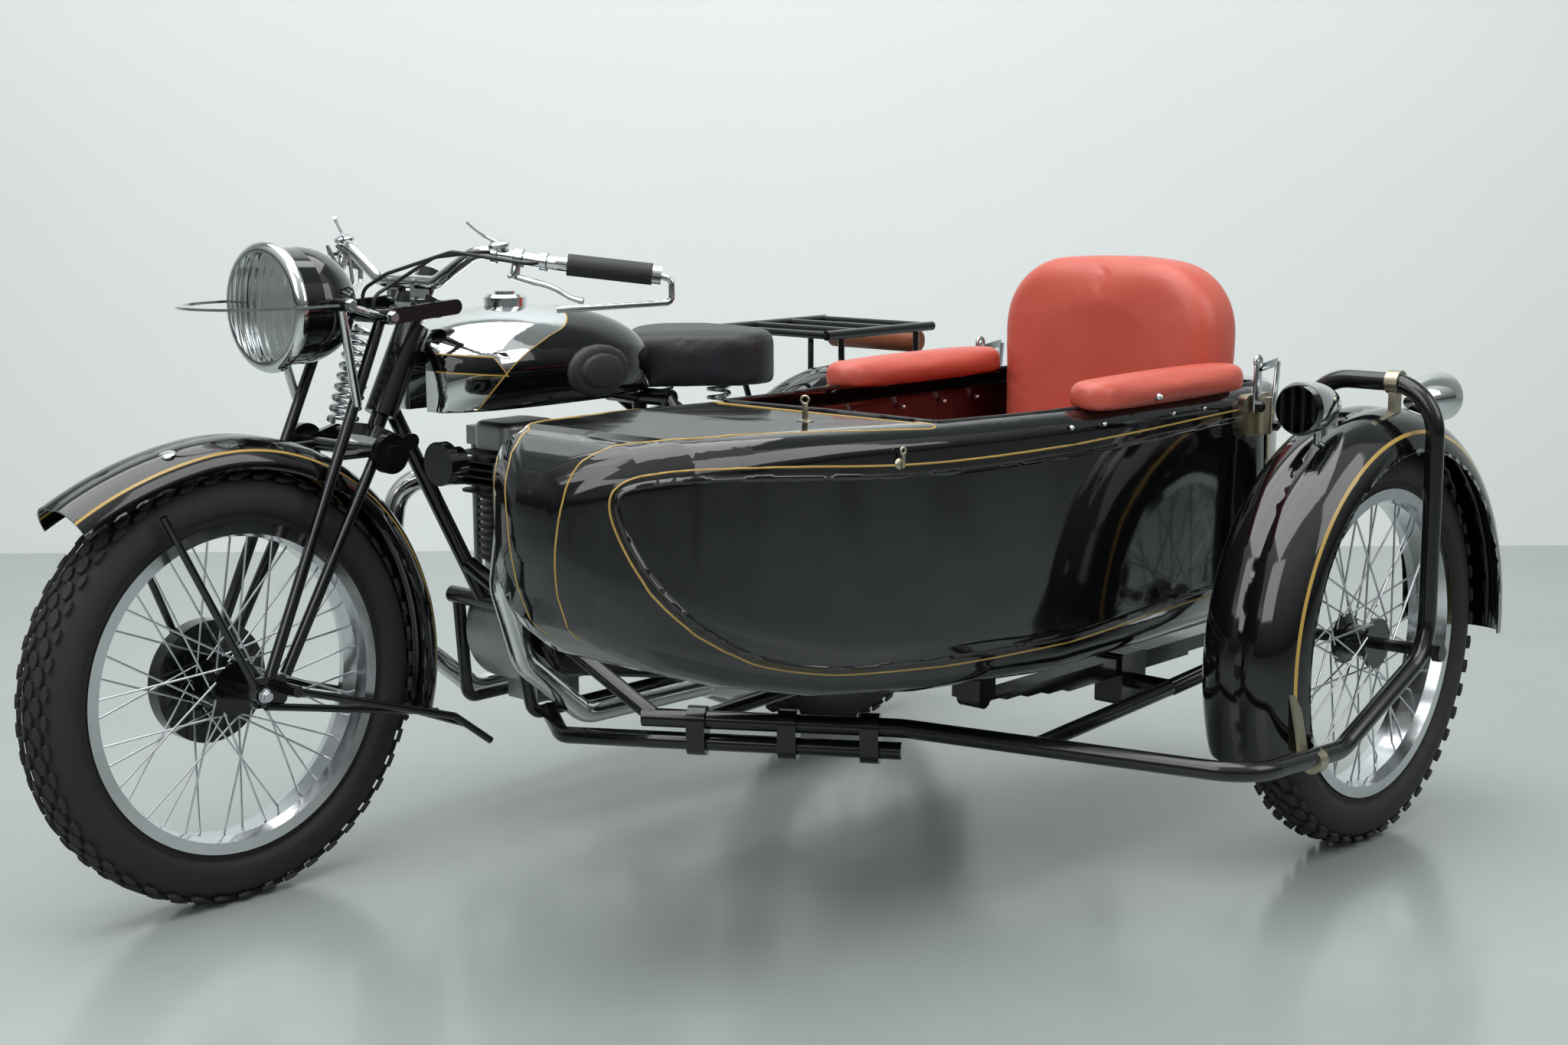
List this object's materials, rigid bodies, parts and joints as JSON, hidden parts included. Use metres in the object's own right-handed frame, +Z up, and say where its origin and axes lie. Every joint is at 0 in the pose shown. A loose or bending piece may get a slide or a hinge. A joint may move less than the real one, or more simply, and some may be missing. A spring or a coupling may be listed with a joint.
{
  "type": "sidecar motorcycle",
  "caption": "Pre-war style single-cylinder motorcycle with girder fork, open finned engine and a boat-shaped touring sidecar on its own sprung chassis and wheel.",
  "frame": {"origin": "centre of the outfit's plan on the ground, below the middle of its bounding box", "axes": "+X toward the rear of the outfit, +Y toward the motorcycle and away from the sidecar, +Z up"},
  "size_m": [2.1409, 1.693, 1.0053],
  "materials": {
    "black_enamel": "deep gloss stoved enamel",
    "bright_chrome": "polished plate",
    "black_rubber": "matt moulded rubber",
    "tyre_rubber": "matt tyre rubber",
    "lamp_glass": "clear fluted glass",
    "red_glass": "red glass",
    "cast_alloy": "satin casting",
    "cast_barrel": "black stove paint",
    "chain_steel": "oiled steel",
    "black_leather": "grained hide",
    "brown_leather": "waxed hide",
    "red_leather": "coral red hide",
    "maroon_board": "dark trimmed board",
    "zinc_plate": "zinc plate"
  },
  "bodies": {
    "chassis": {"motorcycle_frame": "black_enamel", "cradle_rails": "black_enamel", "rear_stays": "black_enamel", "rear_mudguard": "black_enamel", "crankcase": "cast_alloy", "barrel": "cast_barrel", "cylinder_head": "cast_barrel", "rocker_box": "cast_alloy", "gearbox": "cast_alloy", "primary_case": "black_enamel", "magdyno": "cast_alloy", "carburettor": "cast_alloy", "exhaust": "bright_chrome", "drive_chain": "chain_steel", "fuel_tank": "bright_chrome", "filler_cap": "bright_chrome", "knee_pads": "black_rubber", "saddle": "black_leather", "saddle_springs": "bright_chrome", "carrier": "black_enamel", "tool_roll": "brown_leather", "horn": "black_enamel", "oil_tank": "black_enamel", "sidecar_chassis": "black_enamel", "coupling_arms": "black_enamel", "leaf_springs": "black_enamel", "spring_clamps": "black_enamel", "sidecar_body": "black_enamel", "sidecar_deck": "black_enamel", "inner_panels": "maroon_board", "seat_cushion": "red_leather", "backrest": "red_leather", "armrests": "red_leather", "sidecar_mudguard": "black_enamel", "sidecar_brackets": "zinc_plate", "side_lamps": "bright_chrome", "front_lens": "lamp_glass", "tail_lenses": "red_glass"},
    "steering": {"girder_fork": "black_enamel", "fork_links": "black_enamel", "fork_spring": "black_enamel", "handlebar": "bright_chrome", "grips": "black_rubber", "headlamp_shell": "bright_chrome", "headlamp_rim": "bright_chrome", "headlamp_lens": "lamp_glass", "control_cables": "black_rubber", "front_mudguard": "black_enamel", "front_stays": "black_enamel"},
    "front_wheel": {"front_tyre": "tyre_rubber", "front_rim": "bright_chrome", "front_hub": "black_enamel"},
    "rear_wheel": {"rear_tyre": "tyre_rubber", "rear_rim": "bright_chrome", "rear_hub": "black_enamel"},
    "sidecar_wheel": {"sidecar_tyre": "tyre_rubber", "sidecar_rim": "bright_chrome", "sidecar_hub": "black_enamel"},
    "front_stand": {"front_stand": "black_enamel"},
    "rear_stand": {"rear_stand": "black_enamel"}
  },
  "joints": [
    {"name": "steering", "type": "hinge", "parent": "chassis", "child": "steering", "pos_m": [-0.38688, 0.441, 0.8], "axis": [0.454, 0, 0.891], "range_deg": [-30, 30]},
    {"name": "front_wheel_spin", "type": "hinge", "parent": "steering", "child": "front_wheel", "pos_m": [-0.7345, 0.441, 0.334], "axis": [0, 1, 0], "continuous": true},
    {"name": "rear_wheel_spin", "type": "hinge", "parent": "chassis", "child": "rear_wheel", "pos_m": [0.6855, 0.441, 0.334], "axis": [0, 1, 0], "continuous": true},
    {"name": "sidecar_wheel_spin", "type": "hinge", "parent": "chassis", "child": "sidecar_wheel", "pos_m": [0.6855, -0.705, 0.334], "axis": [0, 1, 0], "continuous": true},
    {"name": "front_stand_swing", "type": "hinge", "parent": "steering", "child": "front_stand", "pos_m": [-0.6865, 0.441, 0.334], "axis": [0, 1, 0], "range_deg": [0, 20]},
    {"name": "rear_stand_swing", "type": "hinge", "parent": "chassis", "child": "rear_stand", "pos_m": [0.7135, 0.441, 0.306], "axis": [0, 1, 0], "range_deg": [0, 70]}
  ]
}
